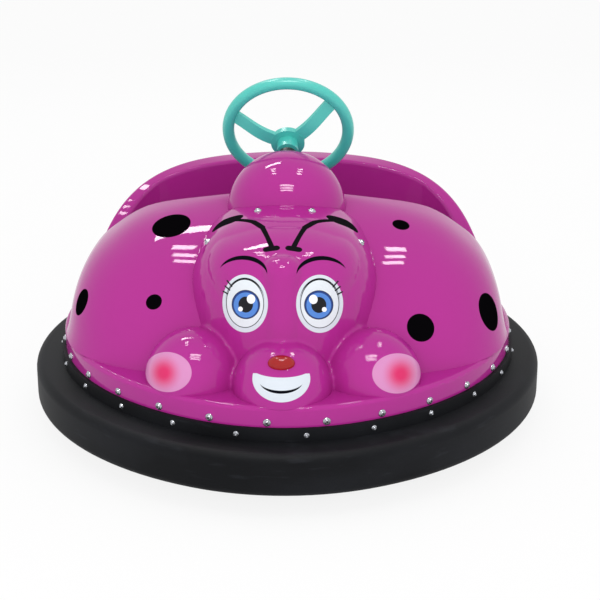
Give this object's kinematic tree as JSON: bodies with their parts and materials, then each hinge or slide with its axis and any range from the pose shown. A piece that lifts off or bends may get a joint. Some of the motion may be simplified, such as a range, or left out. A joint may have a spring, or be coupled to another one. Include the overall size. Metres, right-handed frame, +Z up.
{
  "type": "child's bumper car",
  "caption": "Child's bumper car: glossy ladybird body with a moulded face, rubber bumper ring, bench seat and steering wheel, steered by its front drive wheel.",
  "frame": {"origin": "on the floor under the middle of the bumper ring", "axes": "+Z up, nose towards -Y, the driver's left towards +X"},
  "size_m": [1.1496, 1.2496, 0.749],
  "materials": {
    "body": "gloss gel coat on glass fibre",
    "nose": "gloss red paint",
    "bumper": "moulded black rubber, dull",
    "frame": "black paint",
    "floor": "dark grey paint",
    "steel": "bright steel",
    "cast": "grey cast metal",
    "hub": "cast and machined",
    "tyre": "solid rubber tread",
    "battery": "moulded case",
    "wheel": "moulded teal plastic",
    "pedal": "ribbed rubber pad"
  },
  "bodies": {
    "chassis": {"body_shell": "body", "seat_tub": "body", "face_panel": "body", "cheek_left": "body", "cheek_right": "body", "nose": "nose", "column_cover": "body", "bumper_ring": "bumper", "bumper_hoop": "frame", "chassis_frame": "frame", "floor_plate": "floor", "battery_tray": "frame", "battery_left": "battery", "battery_right": "battery", "rear_axle": "steel", "axle_bracket_left": "frame", "axle_bracket_right": "frame", "axle_collar_left": "steel", "axle_collar_right": "steel", "drive_housing": "frame", "steering_post": "frame", "steering_gearbox": "cast", "column_jacket": "frame", "foot_pedal": "pedal"},
    "steered_fork": {"drive_fork": "cast", "drive_motor": "cast"},
    "drive_wheel": {"drive_hub": "hub", "drive_tyre": "tyre", "drive_axle": "steel"},
    "steering": {"steering_wheel": "wheel", "hub_cap": "wheel", "steering_column": "steel"},
    "rear_wheel_left": {"hub_rear_left": "hub", "tyre_rear_left": "tyre"},
    "rear_wheel_right": {"hub_rear_right": "hub", "tyre_rear_right": "tyre"}
  },
  "joints": [
    {"name": "fork_steer", "type": "hinge", "parent": "chassis", "child": "steered_fork", "pos_m": [0, -0.22, 0.2], "axis": [0, 0, 1], "range_deg": [-90, 90]},
    {"name": "drive_spin", "type": "hinge", "parent": "steered_fork", "child": "drive_wheel", "pos_m": [0, -0.22, 0.095], "axis": [1, 0, 0], "continuous": true},
    {"name": "steering_turn", "type": "hinge", "parent": "chassis", "child": "steering", "pos_m": [0, 0.1, 0.615], "axis": [0, 0.8829, 0.4695], "range_deg": [-90, 90]},
    {"name": "rear_left_spin", "type": "hinge", "parent": "chassis", "child": "rear_wheel_left", "pos_m": [0.29, 0.258, 0.1], "axis": [1, 0, 0], "continuous": true},
    {"name": "rear_right_spin", "type": "hinge", "parent": "chassis", "child": "rear_wheel_right", "pos_m": [-0.29, 0.258, 0.1], "axis": [1, 0, 0], "continuous": true}
  ],
  "couplings": [
    {"joint": "steering_turn", "follows": "fork_steer", "ratio": 1}
  ]
}
